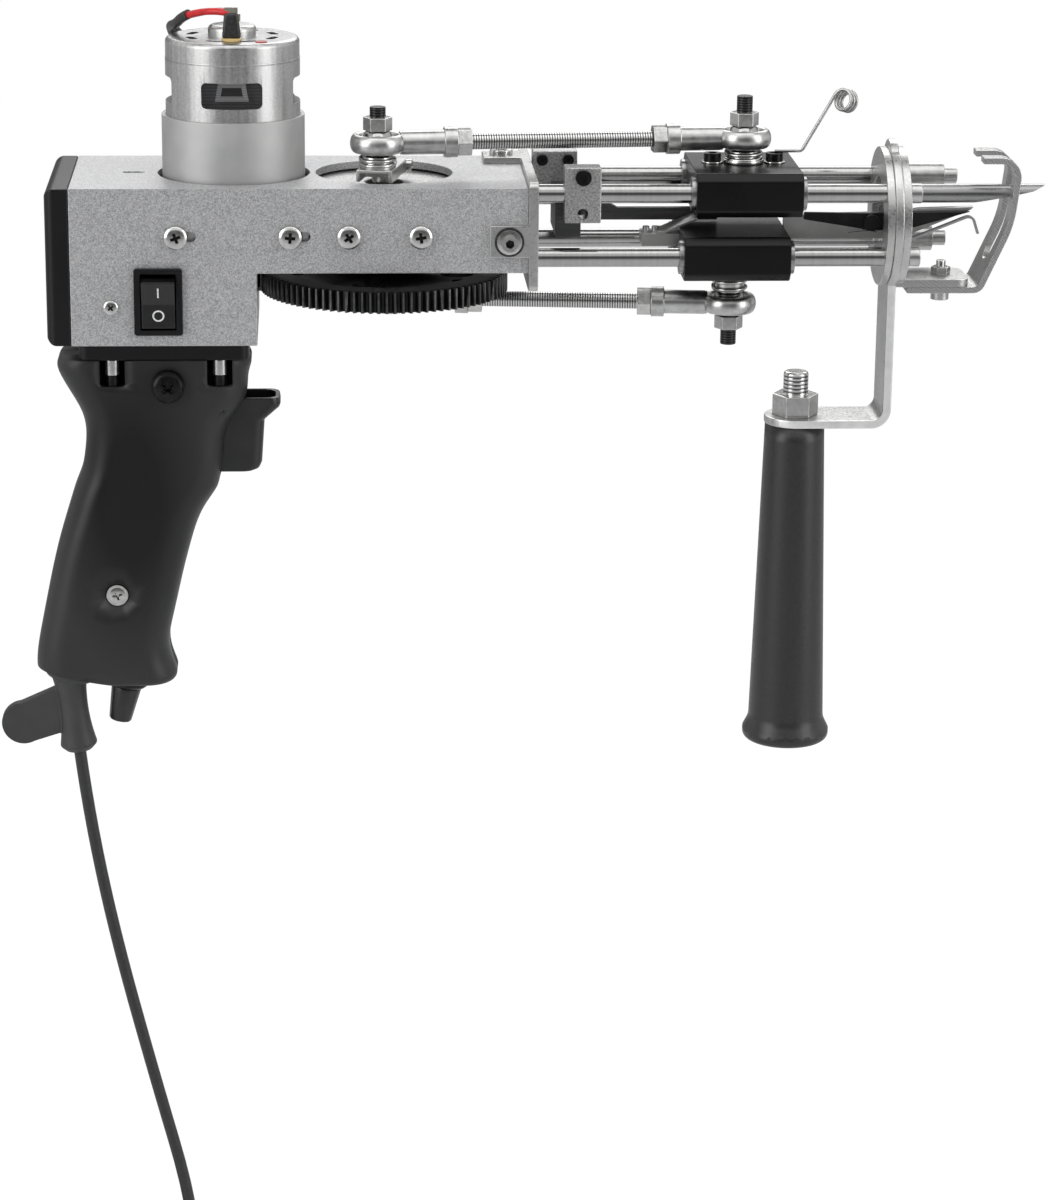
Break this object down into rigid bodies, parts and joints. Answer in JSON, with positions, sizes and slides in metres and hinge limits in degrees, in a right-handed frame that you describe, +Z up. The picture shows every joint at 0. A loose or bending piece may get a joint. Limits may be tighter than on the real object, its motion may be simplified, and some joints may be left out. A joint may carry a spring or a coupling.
{
  "type": "handheld tufting machine",
  "caption": "Handheld cut-pile tufting machine: motor, gear and crank drive a hollow needle and a cutting looper on guide rods, with pistol grip, trigger, front handle and cord.",
  "frame": {"origin": "middle of the pistol grip, where the hand holds the machine", "axes": "+X forward along the needle, +Z up towards the motor, -Y the side with the rocker switch"},
  "size_m": [0.3359, 0.0784, 0.5057],
  "materials": {
    "housing_paint": "satin",
    "plated_steel": "satin",
    "bright_steel": "polished",
    "blackened_steel": "satin",
    "black_aluminium": "satin",
    "bare_aluminium": "satin",
    "black_plastic": "satin",
    "gloss_black": "gloss",
    "black_rubber": "matte",
    "red_insulation": "satin",
    "tie_strap": "matte"
  },
  "bodies": {
    "frame": {"housing": "housing_paint", "front_bracket": "plated_steel", "rear_cap": "black_plastic", "motor_bracket": "plated_steel", "bearing_block": "bare_aluminium", "shaft_bearings": "bright_steel", "motor_can": "plated_steel", "flux_ring": "plated_steel", "motor_end_bell": "plated_steel", "motor_leads": "red_insulation", "housing_screws": "bright_steel", "switch_body": "black_plastic", "guide_rods": "bright_steel", "stop_blocks": "bare_aluminium", "stop_block_screws": "blackened_steel", "knife_cam_bar": "blackened_steel", "rod_end_disc": "plated_steel", "handle_arm": "plated_steel", "foot_ring": "plated_steel", "rod_end_screws": "plated_steel", "front_handle": "black_plastic", "handle_stud": "bright_steel", "grip_block": "black_plastic", "grip_shell_left": "black_plastic", "grip_shell_right": "black_plastic", "grip_screws": "bright_steel", "trigger_switch": "black_plastic", "speed_control": "black_plastic", "cord_boot": "black_rubber", "cord_run": "black_rubber", "cord_coil": "black_rubber", "coil_tie": "tie_strap", "dc_plug": "black_rubber", "foot_bolt": "bright_steel"},
    "presser_foot": {"presser_foot": "plated_steel"},
    "trigger": {"trigger": "black_plastic"},
    "speed_knob": {"speed_knob": "black_plastic"},
    "rocker": {"switch_rocker": "gloss_black"},
    "gear": {"drive_gear": "blackened_steel", "gear_shaft": "bright_steel", "crank_arm": "plated_steel", "crank_pins": "bright_steel"},
    "pinion": {"pinion": "bright_steel", "motor_shaft": "bright_steel"},
    "upper_link": {"upper_rod_ends": "bright_steel", "upper_link_rod": "bright_steel", "upper_pivot_stud": "bright_steel"},
    "lower_link": {"lower_rod_ends": "bright_steel", "lower_link_rod": "bright_steel", "lower_pivot_stud": "bright_steel"},
    "needle_carriage": {"needle_block": "black_aluminium", "needle_bearings": "bright_steel", "needle": "bright_steel", "needle_clamp_screws": "blackened_steel", "yarn_eyelet": "bright_steel"},
    "looper_carriage": {"looper_block": "black_aluminium", "looper_bearings": "bright_steel", "looper": "plated_steel", "blade_springs": "plated_steel"},
    "cutter_blade": {"cutter_blade": "blackened_steel"}
  },
  "joints": [
    {"name": "gear_spin", "type": "hinge", "parent": "frame", "child": "gear", "pos_m": [0.0805, 0, 0.0758], "axis": [0, 0, 1], "range_deg": [-32, 58]},
    {"name": "pinion_spin", "type": "hinge", "parent": "frame", "child": "pinion", "pos_m": [0.0333, 0, 0.0758], "axis": [0, 0, 1], "range_deg": [-254, 140.5]},
    {"name": "upper_link_pivot", "type": "hinge", "parent": "gear", "child": "upper_link", "pos_m": [0.0783, -0.00975, 0.1208], "axis": [0, 0, 1], "range_deg": [-58.5, 32.5]},
    {"name": "lower_link_pivot", "type": "hinge", "parent": "gear", "child": "lower_link", "pos_m": [0.0827, 0.00975, 0.0677], "axis": [0, 0, 1], "range_deg": [-58.5, 32.5]},
    {"name": "needle_slide", "type": "slide", "parent": "frame", "child": "needle_carriage", "axis": [1, 0, 0], "range_m": [-0.0051, 0.0092]},
    {"name": "looper_slide", "type": "slide", "parent": "frame", "child": "looper_carriage", "axis": [1, 0, 0], "range_m": [-0.0092, 0.0051]},
    {"name": "cutter_pivot", "type": "hinge", "parent": "looper_carriage", "child": "cutter_blade", "pos_m": [0.2355, -0.001, 0.094], "axis": [0, 1, 0], "range_deg": [-2.2, 3.9]},
    {"name": "trigger_press", "type": "slide", "parent": "frame", "child": "trigger", "axis": [-1, 0, 0], "range_m": [0, 0.0045], "stiffness_N_per_m": 900, "springref_m": -0.002},
    {"name": "rocker_tilt", "type": "hinge", "parent": "frame", "child": "rocker", "pos_m": [0.0101, -0.0288, 0.0749], "axis": [1, 0, 0], "range_deg": [-20, 0]},
    {"name": "speed_knob_turn", "type": "hinge", "parent": "frame", "child": "speed_knob", "pos_m": [-0.00342, 0, -0.0561], "axis": [-0.1984, 0, -0.9801], "range_deg": [-135, 135]},
    {"name": "foot_adjust", "type": "slide", "parent": "frame", "child": "presser_foot", "axis": [1, 0, 0], "range_m": [-0.0008, 0.006]}
  ],
  "couplings": [
    {"joint": "pinion_spin", "follows": "gear_spin", "ratio": -4.3636},
    {"joint": "upper_link_pivot", "follows": "gear_spin", "ratio": -1},
    {"joint": "lower_link_pivot", "follows": "gear_spin", "ratio": -1},
    {"joint": "needle_slide", "follows": "gear_spin", "m_per_rad": 0.009},
    {"joint": "looper_slide", "follows": "gear_spin", "m_per_rad": -0.009},
    {"joint": "cutter_pivot", "follows": "gear_spin", "ratio": 0.0667}
  ]
}
